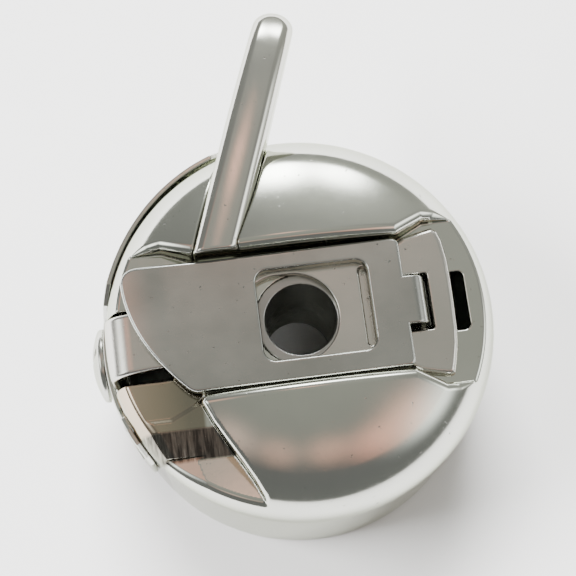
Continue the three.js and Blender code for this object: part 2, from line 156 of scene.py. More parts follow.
def crossing_cells(values):
    """Cells the surface runs through, their numbering, and a first point in each."""
    inside = values < 0
    corners = list(itertools.product((0, 1), repeat=3))
    hits = sum(inside[tuple(slice(d, k - 1 + d) for d, k in zip(corner, inside.shape))]
               .astype(np.uint8) for corner in corners)
    crossing = (hits > 0) & (hits < 8)
    cells = np.argwhere(crossing)
    index = np.full(crossing.shape, -1, np.int32)
    index[crossing] = np.arange(len(cells), dtype=np.int32)
    total = np.zeros((len(cells), 3))
    found = np.zeros(len(cells))
    for corner in corners:
        for axis in range(3):
            if corner[axis]:
                continue
            other = list(corner)
            other[axis] = 1
            va = values[tuple((cells + corner).T)]
            vb = values[tuple((cells + other).T)]
            cut = (va < 0) != (vb < 0)
            point = np.tile(np.array(corner, float), (len(cells), 1))
            point[:, axis] += np.where(cut, va / np.where(cut, va - vb, 1), 0)
            total[cut] += point[cut]
            found[cut] += 1
    return cells, index, total / found[:, None]


def evaluate(shape, points):
    return shape(*[points[:, i].astype(F) for i in range(3)]).astype(float)


def gradient(shape, points, reach=0.012):
    slope = np.zeros_like(points)
    for k in range(3):
        shift = np.zeros(3)
        shift[k] = reach
        rise = evaluate(shape, points + shift) - evaluate(shape, points - shift)
        slope[:, k] = rise / (2 * reach)
    return slope


def surface_quads(inside, index):
    """One quad round each grid edge that the surface crosses, facing outward."""
    quads = []
    for axis in range(3):
        side_a, side_b = (axis + 1) % 3, (axis + 2) % 3
        near = [slice(1, k - 1) for k in inside.shape]
        far = list(near)
        near[axis] = slice(0, inside.shape[axis] - 1)
        far[axis] = slice(1, inside.shape[axis])
        starts = inside[tuple(near)]
        edges = np.argwhere(starts != inside[tuple(far)])
        outward = starts[tuple(edges.T)]
        offset = np.ones(3, int)
        offset[axis] = 0
        ring = []
        for da, db in ((0, 0), (1, 0), (1, 1), (0, 1)):
            cell = edges + offset
            cell[:, side_a] -= da
            cell[:, side_b] -= db
            ring.append(index[tuple(cell.T)])
        quad = np.stack(ring, 1)
        quad[~outward] = quad[~outward][:, ::-1]
        quads.append(quad)
    quads = np.concatenate(quads)
    return quads[(quads >= 0).all(1)]


def net(name, shape, low, high, step):
    """Closed quad mesh of the shape's surface inside a box, with normals from the field."""
    low = np.array(low, float)
    values = sample(shape, low, high, step)
    cells, index, first = crossing_cells(values)
    points = low + step * (cells + first)
    centres = low + step * (cells + 0.5)
    for _ in range(3):    # pull the points onto the surface
        g = gradient(shape, points)
        v = evaluate(shape, points)
        move = g * (v / np.maximum((g * g).sum(1), 0.15))[:, None]
        points = np.clip(points - np.clip(move, -step / 2, step / 2),
                         centres - 0.62 * step, centres + 0.62 * step)
    normals = gradient(shape, points)
    normals /= np.maximum(np.linalg.norm(normals, axis=1), 1e-9)[:, None]
    quads = surface_quads(values < 0, index)
    me = bpy.data.meshes.new(name)
    me.vertices.add(len(points))
    me.vertices.foreach_set("co", ((points + np.array([*AXIS, 0.0])) / 1000).astype(F).ravel())
    me.loops.add(len(quads) * 4)
    me.loops.foreach_set("vertex_index", quads.astype(np.int32).ravel())
    me.polygons.add(len(quads))
    me.polygons.foreach_set("loop_start", np.arange(len(quads), dtype=np.int32) * 4)
    me.polygons.foreach_set("use_smooth", np.ones(len(quads), bool))
    me.update(calc_edges=True)
    me.normals_split_custom_set_from_vertices(normals.tolist())
    return add_object(name, me)


# ------------------------------------------------------------ position finger
FINGER_BOTTOM, FINGER_TOP = 12.9, 15.3
FINGER_ROOT, FINGER_TIP = (-4.38, 4.1), (0.98, 18.93)
ROOT_WIDTH, TIP_WIDTH = 2.58, 2.42
FINGER_RUN = (FINGER_TIP[0] - FINGER_ROOT[0], FINGER_TIP[1] - FINGER_ROOT[1])
FINGER_LEN = math.hypot(*FINGER_RUN)
FINGER_DIR = (FINGER_RUN[0] / FINGER_LEN, FINGER_RUN[1] / FINGER_LEN)
# how the top falls away towards the tip: start, reach, drop per square millimetre
FINGER_DROOP = [(3, 20, 0.0035), (FINGER_LEN - 6.0, 8, 0.010), (FINGER_LEN - 2.8, 4, 0.07)]


def finger_field(x, y, z):
    along, across = turned(x - FINGER_ROOT[0], y - FINGER_ROOT[1], *FINGER_DIR)
    taper = np.clip((along - 8) / (FINGER_LEN - 8), 0, 1)
    half = ROOT_WIDTH / 2 + (TIP_WIDTH - ROOT_WIDTH) / 2 * taper
    tip_centre = FINGER_LEN - TIP_WIDTH / 2
    side = np.hypot(np.maximum(along - tip_centre, 0), across) - half
    height = z - (FINGER_BOTTOM + FINGER_TOP) / 2
    half_height = (FINGER_TOP - FINGER_BOTTOM) / 2
    top = height - half_height + 0.10 * np.clip(np.abs(across) / half, 0, 1) ** 2
    for start, reach, drop in FINGER_DROOP:
        top = top + drop * np.clip(along - start, 0, reach) ** 2
    bar = inter(side, top, 0.66)
    bar = inter(bar, -height - half_height, 0.40)
    return inter(bar, CHANNEL_HALF + 0.06 - y, 0.22)    # cut off flush with the channel


# ------------------------------------------------------------------ case body
# crowned top: height at the axis, bulge factors for r^2 and r^4
CROWN_TOP, CROWN_2, CROWN_4 = 15.6, 0.011864, 6.531e-5
CROWN_R, CROWN_DEG = 9.0, 22.0    # where the crown meets the edge rounding, and its slope
CROWN_SIN, CROWN_COS = math.sin(CROWN_DEG * RAD), math.cos(CROWN_DEG * RAD)
EDGE_R = (R_OUT - CROWN_R) / (1 - CROWN_SIN)
EDGE_MID = R_OUT - EDGE_R
WALL_TOP = CROWN_TOP - CROWN_2 * CROWN_R ** 2 - CROWN_4 * CROWN_R ** 4 - EDGE_R * CROWN_COS

# outlines seen from above: x, y
CHANNEL = [
    (-14, -CHANNEL_FLARE), (-8.0, -CHANNEL_FLARE), (-6.2, -CHANNEL_HALF),
    (6.0, -CHANNEL_HALF + 0.05), (7.7, -CHANNEL_FLARE), (14, -CHANNEL_FLARE),
    (14, CHANNEL_FLARE), (7.7, CHANNEL_FLARE), (6.0, CHANNEL_HALF),
    (-5.6, CHANNEL_HALF + 0.05), (-7.6, CHANNEL_FLARE), (-14, CHANNEL_FLARE)]
NAIL_RECESS = [
    (-14, -2.4), (-6.0, -2.4), (-6.15, -4.35), (-5.65, -5.5), (-5.0, -6.65), (-4.3, -7.85),
    (-3.75, -8.9), (-3.35, -9.85), (-3.0, -14), (-14, -14)]
# rectangular cuts in the top: x0, x1, y0, y1, corner radius, bottom z, edge softness
TOP_CUTS = [
    (-16, -7.6, -2.6, 1.68, 0.12, 9.55, 0.10),                  # notch in the -x wall
    (6.2, 9.65, -1.73, 1.73, 0.35, 11, 0.09),                   # slot at the hinge
    (PIN_X - 0.33, PIN_X + 0.33, -PIN_HALF - 0.05, PIN_HALF + 0.05, 0.05,
     PIN_Z - 0.32, 0.04),                                       # groove for the pin
    (-7.26, -3.32, -1.31, -0.19, 0.05, 12.05, 0.05)]            # pocket for the coil


def crowned_field(r, z):
    """Solid outside of the shell: wall, rounded edge and crown."""
    r2 = r * r
    slope = 2 * CROWN_2 * r + 4 * CROWN_4 * r * r2
    top = (z - CROWN_TOP + CROWN_2 * r2 + CROWN_4 * r2 * r2) / np.sqrt(1 + slope * slope)
    edge = np.hypot(np.maximum(r - EDGE_MID, 0), np.maximum(z - WALL_TOP, 0)) - EDGE_R
    on_crown = (r - EDGE_MID) * CROWN_COS < (z - WALL_TOP) * CROWN_SIN
    cap = np.where(on_crown, np.maximum(top, -2.5), edge)
    return np.where(z > WALL_TOP, cap, r - R_OUT)


def recess_floor(x, y):
    """Height of the nail recess floor: a landing, then slopes falling towards -y."""
    landing = F(Z_FLOOR - 0.02)
    stepped = np.where(y > -5.5, landing, np.where(
        y > -7.25, landing + (y + 5.5) * 0.389, 12.3 + (-7.25 - y) * 0.157))
    tilted = 12.2 + 0.1998 * (x + 7.2) - 0.0998 * (y + 7.05)
    tilted = np.where(y < -7.05, tilted, tilted + (y + 7.05) * 6.0)
    return np.minimum(stepped, np.maximum(tilted, 11.95))


def cut_top(solid, x, y, z):
    channel = inter(poly(x, y, CHANNEL), Z_FLOOR - z, 0.10)
    solid = sub(solid, channel, 0.14 + 0.44 * np.clip((z - 13.15) / 0.5, 0, 1))
    recess = inter(poly(x, y, NAIL_RECESS), (recess_floor(x, y) - z) * 0.93, 0.10)
    solid = sub(solid, recess, 0.30)
    for x0, x1, y0, y1, corner, bottom, soft in TOP_CUTS:
        cut = np.maximum(rect(x, y, x0, x1, y0, y1, corner), bottom - z)
        solid = sub(solid, cut, soft)
    solid = sub(solid, np.maximum(np.hypot(x, y) - (NECK_R + 0.02), 11 - z), 0.03)
    near = (y > 3.4) & (x < 3.0) & (z > 11.5)    # seat of the finger
    seat = finger_field(x[near], y[near], z[near]) - 0.02
    solid[near] = sub(solid[near], seat, 0.16)
    return solid


def body_field(x, y, z):
    r = np.hypot(x, y)
    solid = inter(crowned_field(r, z), -z, 0.16)
    solid = sub(solid, inter(r - R_IN, z - Z_IN, 0.35), 0.12)
    # thread slot, open at the rim
    along, across = turned_by(x, y, THREAD_DEG)
    slot = np.maximum(rect(across, z, -0.275, 0.275, -3.0, 7.7, 0.27), 9 - along)
    solid = sub(solid, slot, 0.08)
    # screw bores through one wall only
    bore = np.maximum(np.hypot(y, z - SCREW_Z) - (SCREW_R + 0.04), x + 8)
    solid = sub(solid, bore, 0.05)
    along, across = turned_by(x, y, CLAMP_DEG)
    bore = np.maximum(np.hypot(across, z - CLAMP_Z) - (CLAMP_R + 0.02), 8 - along)
    solid = sub(solid, bore, 0.05)
    high = z > 9.0
    solid[high] = cut_top(solid[high], x[high], y[high], z[high])
    return solid


body = net("shell_formed", body_field, (-11.9, -11.9, -0.5), (11.9, 11.9, 15.9), step=0.09)
finger = net("finger_bar", finger_field, (-6.4, 3.9, 12.1), (2.8, 19.4, 15.7), step=0.06)


# ---------------------------------------------------------------- stud sleeve
SLEEVE_R, SLEEVE_BORE, SLEEVE_BOTTOM = 2.95, 2.08, 3.4


def sleeve_field(x, y, z):
    r = np.hypot(x, y)
    tube = inter(inter(r - SLEEVE_R, z - (Z_IN - 0.01), 0.22), SLEEVE_BOTTOM - z, 0.22) \
        if False else inter(np.maximum(r - SLEEVE_R, z - (Z_IN - 0.01)), SLEEVE_BOTTOM - z, 0.22)
    neck = np.maximum(np.maximum(r - NECK_R, z - Z_FLOOR), 11.0 - z)
    return sub(np.minimum(tube, neck), r - SLEEVE_BORE, 0.05)


sleeve = net("stud_sleeve", sleeve_field, (-3.3, -3.3, 3.0), (3.3, 3.3, 13.4), step=0.08)

# ---------------------------------------------------------------- latch slide
# outlines seen from above: x, y
SLIDE_HINGE_END = [
    (6.4, -4.0), (7.3, -4.22), (8.0, -4.36), (8.28, -4.28), (8.46, -3.67), (8.68, -2.71),
    (8.79, -1.8), (8.85, -0.06), (8.86, 1.14), (8.83, 2.4), (8.67, 3.58), (8.48, 4.14),
    (8.18, 4.4), (7.3, 4.24), (6.4, 4.03)]
SLIDE = [(-6.9, -2.25), (-5.9, -3.55), (5.6, -3.55)] + SLIDE_HINGE_END + [
    (5.6, 3.55), (-6.6, 3.55), (-7.3, 2.12), (-7.8, 1.42), (-9.2, 1.42), (-9.2, -2.0),
    (-7.6, -1.95)]
TAB = [(-6.5, 1.42), (-13, 1.42), (-13, -2.2), (-10.9, -2.2), (-8.7, -2.0), (-6.5, -1.9)]
BEND_X, BEND_Z, BEND_R, BEND_HALF = -9.61, 11.81, 1.49, 0.26    # tab bent down at -x


def tab_field(x, y, z):
    bend = np.where(
        (x < BEND_X) & (z > BEND_Z),
        np.abs(np.hypot(x - BEND_X, z - BEND_Z) - BEND_R) - BEND_HALF,
        np.where(x < BEND_X, np.abs(x - (BEND_X - BEND_R)) - BEND_HALF,
                 np.abs(z - (BEND_Z + BEND_R)) - BEND_HALF))
    tab = inter(np.maximum(bend, x + 8.6), 9.8 - z, 0.15)
    tab = inter(tab, poly(x, y, TAB), 0.24)
    return inter(tab, np.hypot(x, y) - (R_OUT - 0.02), 0.10)


def slide_field(x, y, z):
    plate = inter(poly(x, y, SLIDE), 13.04 - z, 0.06)
    plate = inter(plate, z - 13.56, np.where(x > 5.2, F(0.34), F(0.18)))
    plate = np.minimum(plate, tab_field(x, y, z))
    # lug that bears on the coil
    lug = np.maximum(np.abs(x + 7.0) - 0.2, np.abs(y - SPRING_Y) - 0.5)
    plate = np.minimum(plate, np.maximum(lug, np.maximum(12.1 - z, z - 13.3)))
    # stud hole, lengthened along x
    off_centre = np.where(x > -0.45, x + 0.45, np.where(x < -1.05, x + 1.05, 0))
    plate = sub(plate, np.hypot(off_centre, y) - 2.62, 0.10)
    plate = sub(plate, rect(x, y, 6.0, 7.5, -1.6, 1.72, 0.15), 0.10)
    groove = np.maximum(rect(x, y, 3.62, 4.40, -2.1, 2.5, 0.2), 13.17 - z)
    return sub(plate, groove, 0.14)


slide = net("catch_plate", slide_field, (-11.9, -5.0, 9.3), (9.4, 5.0, 14.0), step=0.06)

# ---------------------------------------------------------------- latch lever
# outline seen from above: x, y; the last curve ends on the first point
LEVER = (
    [(-6.3, -3.74), (-4.52, -3.75), (1.1, -3.74), (5.64, -3.72)]
    + bezier(5, (5.64, -3.72), (6.05, -3.72), (6.05, -3.3)) + [(6.05, 3.35)]
    + bezier(5, (6.05, 3.35), (6.05, 3.82), (5.5, 3.84))
    + [(0.4, 3.82), (-4.8, 3.77), (-8.9, 3.86)]
    + bezier(7, (-8.9, 3.86), (-9.95, 3.88), (-10.04, 3.0))
    + bezier(10, (-10.04, 3.0), (-10.0, 1.3), (-9.3, -0.4), (-8.3, -1.75))
    + bezier(5, (-8.3, -1.75), (-7.5, -2.8), (-7.0, -3.3))
    + bezier(4, (-7.0, -3.3), (-6.65, -3.7), (-6.3, -3.74))[:-1])
CURL_X, CURL_Z, CURL_R = -0.55, 1.15, 0.75    # outer bend of the tongue, from the pin


def tongue_field(px, y, pz):
    """Tongue that curls down from the plate and round the pin; px and pz are from the pin."""
    web = np.where(
        (px > CURL_X) & (pz > CURL_Z), np.hypot(px - CURL_X, pz - CURL_Z) - CURL_R,
        np.where(pz > CURL_Z, pz - (CURL_Z + CURL_R), px - (CURL_X + CURL_R)))
    hollow = np.maximum(px + 0.4, pz - CURL_Z)
    tongue = np.maximum(web, -hollow)
    tongue = np.maximum(np.maximum(tongue, -px - 1.5), -pz)
    tongue = np.minimum(tongue, np.hypot(px, pz) - 0.57)
    return inter(tongue, np.abs(y - 0.09) - 1.41, 0.12)


def lever_field(x, y, z):
    sag = 0.03 * np.clip(-7.3 - x, 0, 3) ** 2
    plate = inter(poly(x, y, LEVER), np.maximum(z - 14.35 + sag, 13.60 - z), 0.19)
    plate = sub(plate, rect(x, y, -2.37, 4.06, -2.5, 2.8, 0.7), 0.13)
    px, pz = x - PIN_X, z - PIN_Z
    plate = np.minimum(plate, tongue_field(px, y, pz))
    return np.maximum(plate, PIN_R + 0.035 - np.hypot(px, pz))


lever = net("latch_plate", lever_field, (-10.5, -4.2, 11.5), (8.2, 4.3, 14.8), step=0.06)

# --------------------------------------------------------------- tension leaf
# edges of the leaf: azimuth in degrees, z
LEAF_TOP = [
    (104, 10.6), (107, 11.0), (110, 11.2), (160, 11.2), (166, 10.6), (170, 9.35), (196, 9.35),
    (200, 10.4), (204, 10.9), (209, 10.6), (213, 9.6), (215, 8.95)]
LEAF_BOTTOM = [
    (104, 9.0), (110, 7.9), (120, 6.4), (132, 5.0), (146, 4.2), (165, 4.0), (200, 4.0),
    (209, 4.4), (213, 5.2), (215, 5.74)]
UNROLL_R, UNROLL_DEG = 11.6, 166    # the outline is laid flat at this radius, from here
LEAF_OUTLINE = [((a - UNROLL_DEG) * UNROLL_R * RAD, b) for a, b in LEAF_TOP + LEAF_BOTTOM[::-1]]
LEAF_R, LEAF_HALF, LEAF_END_DEG = 11.58, 0.15, 107


def leaf_field(x, y, z):
    r = np.hypot(x, y)
    azimuth = np.degrees(np.arctan2(y, x)) % 360
    # the free end stands off the wall
    swing = np.pi * (160 - np.clip(azimuth, 100, 160)) / 53
    lift = np.where(azimuth < 160, 0.22 * (1 - np.cos(swing)) / 2, 0)
    flat = (azimuth - UNROLL_DEG) * F(UNROLL_R * RAD)
    # pulled in, cut square at the free end and let out again
    leaf = poly(flat, z, LEAF_OUTLINE) + 0.12
    end = F(LEAF_END_DEG - UNROLL_DEG) * F(UNROLL_R * RAD) - flat
    leaf = np.maximum(leaf, end - 0.001) - 0.12
    leaf = inter(leaf, np.abs(r - lift - LEAF_R) - LEAF_HALF, 0.07)
    leaf = np.maximum(leaf, 1.05 - np.hypot(y, z - SCREW_Z))
    along, across = turned_by(x, y, CLAMP_DEG)
    hole = CLAMP_R + 0.012 + CONE_SLOPE * np.clip(along - CONE_U, 0, 0.6)
    return np.maximum(leaf, hole - np.hypot(across, z - CLAMP_Z))


leaf = net("tension_leaf", leaf_field, (-12.1, -9.2, 3.6), (-2.9, 12.2, 11.6), step=0.07)

# --------------------------------------------------------------------- screws
HEAD_R, HEAD_UNDER, HEAD_TOP = 2.25, 11.76, 12.62    # domed head, heights from the axis
DOME_RISE = HEAD_TOP - HEAD_UNDER - 0.3
DOME_R = (HEAD_R * HEAD_R + DOME_RISE * DOME_RISE) / (2 * DOME_RISE)
CLAMP_TOP, CLAMP_DOME_R = 11.79, 12.0


def cut_slot(screw, across, height, along, degrees, width, bottom, soft):
    """Driver slot, turned about the screw's own axis."""
    offset, _ = turned_by(across, height, degrees)
    return sub(screw, np.maximum(np.abs(offset) - width / 2, bottom - along), soft)


def tension_screw_field(x, y, z):
    along, across = turned_by(x, y, 180)
    height = z - SCREW_Z
    q = np.hypot(across, height)
    shank = inter(inter(q - SCREW_R, SCREW_TIP - along, 0.12), along - (HEAD_UNDER + 0.2), 0.0)
    dome = np.hypot(q, along - (HEAD_TOP - DOME_R)) - DOME_R
    head = inter(inter(q - HEAD_R, HEAD_UNDER - along, 0.06), dome, 0.14)
    return cut_slot(np.minimum(shank, head), across, height, along,
                    degrees=20, width=0.5, bottom=HEAD_TOP - 0.42, soft=0.06)


def clamp_screw_field(x, y, z):
    along, across = turned_by(x, y, CLAMP_DEG)
    height = z - CLAMP_Z
    q = np.hypot(across, height)
    cone = q - CLAMP_R - CONE_SLOPE * np.clip(along - CONE_U, 0, 0.31)
    screw = inter(cone, SCREW_TIP - along, 0.12)
    dome = np.hypot(q, along - (CLAMP_TOP - CLAMP_DOME_R)) - CLAMP_DOME_R
    return cut_slot(inter(screw, dome, 0.04), across, height, along,
                    degrees=25, width=0.35, bottom=11.55, soft=0.04)


tension_screw = net("tension_screw", tension_screw_field,
                    (-13.0, -2.6, 4.3), (-10.2, 2.6, 9.5), step=0.05)
clamp_x, clamp_y = turned_by(11.5, 0.0, -CLAMP_DEG)
clamp_x, clamp_y = 11.5 * math.cos(CLAMP_DEG * RAD), 11.5 * math.sin(CLAMP_DEG * RAD)
clamp_screw = net("clamp_screw", clamp_screw_field,
                  (clamp_x - 1.9, clamp_y - 1.9, CLAMP_Z - 1.6),
                  (clamp_x + 1.9, clamp_y + 1.9, CLAMP_Z + 1.6), step=0.045)


# --------------------------------------------------------------- pin and coil
def tube_along(name, path, radii, segments):
    path = np.array(path, float)
    tangents = np.gradient(path, axis=0)
    tangents /= np.linalg.norm(tangents, axis=1)[:, None]
    upright = abs(tangents[0][2]) >= 0.9
    normal = np.array([1.0, 0.0, 0.0] if upright else [0.0, 0.0, 1.0])
    verts, faces = [], []
    for point, tangent, radius in zip(path, tangents, radii):
        normal = normal - tangent * (normal @ tangent)
        normal /= np.linalg.norm(normal)
        side = np.cross(tangent, normal)
        for k in range(segments):
            a = 2 * math.pi * k / segments
            v = point + radius * (normal * math.cos(a) + side * math.sin(a))
            verts.append(((v[0] + AXIS[0]) / 1000, (v[1] + AXIS[1]) / 1000, v[2] / 1000))
    last = (len(path) - 1) * segments
    for ring in range(0, last, segments):
        for k in range(segments):
            k2 = (k + 1) % segments
            faces.append((ring + k, ring + k2, ring + segments + k2, ring + segments + k))
    faces.append(tuple(range(segments))[::-1])
    faces.append(tuple(last + k for k in range(segments)))
    me = bpy.data.meshes.new(name)
    me.from_pydata(verts, [], faces)
    bm = bmesh.new()
    bm.from_mesh(me)
    bmesh.ops.recalc_face_normals(bm, faces=bm.faces)
    for face in bm.faces:
        face.smooth = True
    bm.to_mesh(me)
    bm.free()
    return add_object(name, me)


# rounded pin end: distance from the end, cut from the radius
PIN_ROUNDING = [(0, 0.10), (0.015, 0.05), (0.05, 0.015), (0.10, 0)]
pin_end = [(-PIN_HALF + inset, PIN_R - cut) for inset, cut in PIN_ROUNDING]
pin_stations = pin_end + [(y, PIN_R) for y in (-1.6, 0, 1.6)] + [(-y, r) for y, r in pin_end[::-1]]
pin = tube_along("hinge_pin", [(PIN_X, y, PIN_Z) for y, _ in pin_stations],
                 [r for _, r in pin_stations], segments=32)

COIL_X0, COIL_X1, COIL_R, COIL_TURNS, WIRE_R = -6.76, -3.34, 0.35, 6, 0.07
run = np.linspace(0, 1, 360)
coil_path = np.stack([
    COIL_X0 + WIRE_R + (COIL_X1 - COIL_X0 - 2 * WIRE_R) * run,
    SPRING_Y + COIL_R * np.cos(2 * np.pi * COIL_TURNS * run),
    SPRING_Z + COIL_R * np.sin(2 * np.pi * COIL_TURNS * run)], 1)
coil = tube_along("latch_coil", coil_path, [WIRE_R] * len(run), segments=10)
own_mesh(coil)

# object, body it rides, frame node it replaces, slot, finish
PIECES = [
    (body, "case", "case_body", "plated_steel", "polished_plating"),
    (finger, "case", "position_finger", "plated_steel", "polished_bar"),
    (sleeve, "case", "stud_tube", "tube_steel", "turned_tube"),
    (slide, "slide", "latch_slide", "satin_steel", "satin_slide"),
    (lever, "lever", "latch_lever", "satin_steel", "satin_plate"),
    (pin, "case", "latch_hinge_pin", "tube_steel", "ground_pin"),
    (coil, "case", "latch_spring", "spring_wire", "drawn_wire"),
    (leaf, "case", "tension_spring", "leaf_steel", "leaf_plating"),
    (tension_screw, "tension_screw", "tension_adjusting_screw", "screw_steel", "screw_plating"),
    (clamp_screw, "case", "tension_clamp_screw", "screw_steel", "screw_plating")]
for ob, rides, node_name, slot_name, _ in PIECES:
    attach(ob, rides)
    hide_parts(node_name)


# --------------------------------------------------------------- node helpers
def add_node(tree, kind, inputs=None, **settings):
    """New shader node; an input value is either a socket to link or a constant."""
    n = tree.nodes.new("ShaderNode" + kind)
    for key, value in settings.items():
        setattr(n, key, value)
    for key, value in (inputs or {}).items():
        if isinstance(value, bpy.types.NodeSocket):
            tree.links.new(value, n.inputs[key])
        else:
            n.inputs[key].default_value = value
    return n


def calc(tree, operation, *values):
    return add_node(tree, "Math", dict(enumerate(values)), operation=operation).outputs[0]


def noise(tree, vector, scale, detail, roughness):
    return add_node(tree, "TexNoise", {"Vector": vector, "Scale": scale, "Detail": detail,
                                       "Roughness": roughness}).outputs["Fac"]


def ramp(tree, factor, stops):
    n = add_node(tree, "ValToRGB", {"Fac": factor})
    elements = n.color_ramp.elements
    while len(elements) > 1:
        elements.remove(elements[-1])
    for i, (position, color) in enumerate(stops):
        e = elements[0] if i == 0 else elements.new(position)
        e.position = position
        e.color = (*color, 1)
    return n.outputs["Color"]


def mix(tree, factor, first, second, **settings):
    """Colour mix; sockets 0, 6 and 7 are the factor and the two colours."""
    return add_node(tree, "Mix", {0: factor, 6: first, 7: second}, data_type="RGBA",
                    **settings).outputs[2]


def bump(tree, height, distance, strength, under=None, invert=False):
    inputs = {"Height": height, "Distance": distance, "Strength": strength}
    if under:
        inputs["Normal"] = under
    return add_node(tree, "Bump", inputs, invert=invert).outputs[0]


# ------------------------------------------------------------------ materials
def paint_recess_streaks_and_shade(tree, place, tone):
    """Milling streaks on the nail recess slope, painted dark as painted shade, and a painted
    brown-pink reflection that dulls the landing.
    """
    xyz = add_node(tree, "SeparateXYZ", {0: place})
    origin = {"X": AXIS[0], "Y": AXIS[1], "Z": 0}

    def band(axis, start, end):
        """0 at start, 1 at end, in millimetres from the case axis."""
        return add_node(tree, "MapRange", {
            0: xyz.outputs[axis], 1: (origin[axis] + start) / 1000,
            2: (origin[axis] + end) / 1000}).outputs[0]

    def patch(near_y, far_y, x_edge, z_edge):
        y_mask = calc(tree, "MULTIPLY", band("Y", *near_y), band("Y", *far_y))
        xz_mask = calc(tree, "MULTIPLY", band("X", *x_edge), band("Z", *z_edge))
        return calc(tree, "MULTIPLY", y_mask, xz_mask)

    # recess slope: real milling streaks, but the ramp's dark end makes the whole slope dark, which
    # is painted shade
    slope = patch(near_y=(-7.35, -7.15), far_y=(-5.45, -5.65), x_edge=(-3.6, -3.9),
                  z_edge=(13.05, 12.95))
    drawn = add_node(tree, "Mapping", {"Vector": place, "Scale": (1, 0.10, 0.10)}).outputs[0]
    streaks_and_painted_shade = ramp(tree, noise(tree, drawn, scale=4200, detail=3, roughness=0.7), [
        (0.36, (0.10, 0.095, 0.085)), (0.62, (0.34, 0.32, 0.28)), (0.72, (0.6, 0.58, 0.54))])
    tone = mix(tree, slope, tone, streaks_and_painted_shade)
    # landing: multiplied by a pink-to-brown ramp along x, a painted reflection rather than the
    # metal's own colour
    landing = patch(near_y=(-5.7, -5.5), far_y=(-2.4, -2.6), x_edge=(-6.0, -6.2),
                    z_edge=(13.10, 13.0))
    painted_brown_reflection = ramp(tree, band("X", -10.6, -7.0), [
        (0.0, (1.0, 0.80, 0.68)), (0.5, (0.72, 0.60, 0.50)), (1.0, (0.45, 0.41, 0.36))])
    return mix(tree, landing, tone, painted_brown_reflection, blend_type="MULTIPLY")


def metal(name, light, dark, rough, stretch, line_scale, line_depth, speck, wave, tooling_and_painted_shade=False):
    """Steel with tone drift, fine grinding lines, small pits and buffing waves."""
    material = bpy.data.materials.new(name)
    material.use_nodes = True
    tree = material.node_tree
    tree.nodes.clear()
    output = add_node(tree, "OutputMaterial")
    shader = add_node(tree, "BsdfPrincipled", {
        "Metallic": 1.0, "Specular Tint": (0.72, 0.74, 0.66, 1)})
    tree.links.new(shader.outputs[0], output.inputs[0])
    place = add_node(tree, "TexCoord").outputs["Object"]
    drift = noise(tree, place, scale=180, detail=3, roughness=0.55)
    tone = ramp(tree, drift, [(0.28, dark), (0.72, light)])
    grain = noise(tree, place, scale=3600, detail=2, roughness=0.6)
    pits = ramp(tree, grain, [(0.0, (0, 0, 0)), (0.70 - 0.03 * speck, (0, 0, 0)),
                              (0.78 - 0.03 * speck, (1, 1, 1))])
    tone = mix(tree, pits, tone, (*[c * 0.45 for c in dark], 1))
    drawn = add_node(tree, "Mapping", {"Vector": place, "Scale": stretch}).outputs[0]
    lines = noise(tree, drawn, scale=line_scale, detail=4, roughness=0.7)
    buffing = noise(tree, place, scale=260, detail=1, roughness=0.4)
    if tooling_and_painted_shade:
        # milling streaks with painted shade on the recess slope, and a painted reflection on the
        # landing
        tone = paint_recess_streaks_and_shade(tree, place, tone)
    tree.links.new(tone, shader.inputs["Base Color"])
    # roughness: grinding lines, then pits, then the slow drift
    r = calc(tree, "MULTIPLY_ADD", lines, 0.16, rough - 0.08)
    r = calc(tree, "ADD", r, calc(tree, "MULTIPLY", pits, 0.25))
    centred = calc(tree, "SUBTRACT", drift, 0.5)
    r = calc(tree, "ADD", r, calc(tree, "MULTIPLY", centred, 0.10))
    tree.links.new(calc(tree, "MAXIMUM", r, 0.03), shader.inputs["Roughness"])
    relief = bump(tree, lines, distance=1e-5, strength=line_depth)
    relief = bump(tree, buffing, distance=1e-4, strength=wave, under=relief)
    relief = bump(tree, pits, distance=1e-5, strength=0.4, under=relief, invert=True)
    tree.links.new(relief, shader.inputs["Normal"])
    return material


# name: light tone, dark tone, roughness,
#       line stretch on x y z, line scale, line depth, specks, buffing waves,
#       recess streaks with painted shade and a painted reflection on the landing
FINISHES = {
    "polished_plating": ((0.68, 0.69, 0.635), (0.61, 0.62, 0.57), 0.11,
                         (1, 1, 1), 2400, 0.10, 0.0, 0.10, True),
    "polished_bar": ((0.69, 0.69, 0.64), (0.62, 0.61, 0.57), 0.12,
                     (1, 0.2, 1), 2200, 0.12, 0.0, 0.10),
    "satin_plate": ((0.58, 0.59, 0.57), (0.40, 0.405, 0.39), 0.22,
                    (0.5, 1, 1), 3000, 0.16, 0.3, 0.10),
    "satin_slide": ((0.72, 0.70, 0.66), (0.62, 0.605, 0.565), 0.22,
                    (0.4, 1, 1), 3400, 0.14, 0.2, 0.08),
    "turned_tube": ((0.52, 0.52, 0.51), (0.40, 0.40, 0.395), 0.30,
                    (0.05, 0.05, 1), 6000, 0.5, 0.2, 0.02),
    "leaf_plating": ((0.67, 0.675, 0.63), (0.58, 0.585, 0.55), 0.14,
                     (1, 1, 0.08), 4200, 0.3, 0.1, 0.04),
    "screw_plating": ((0.66, 0.66, 0.62), (0.56, 0.56, 0.53), 0.2,
                      (1, 1, 1), 3800, 0.25, 0.3, 0.03),
    "drawn_wire": ((0.55, 0.55, 0.54), (0.40, 0.40, 0.39), 0.3,
                   (0.2, 1, 1), 5000, 0.3, 0.4, 0.0),
    "ground_pin": ((0.62, 0.62, 0.60), (0.50, 0.50, 0.48), 0.24,
                   (1, 0.05, 1), 6000, 0.4, 0.3, 0.0)}
metals = {name: metal(name, *row) for name, row in FINISHES.items()}
for ob, _, node_name, _, finish in PIECES:
    ob.data.materials.append(metals[finish])
    node_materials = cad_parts[node_name].data.materials
    node_materials.clear()
    node_materials.append(metals[finish])


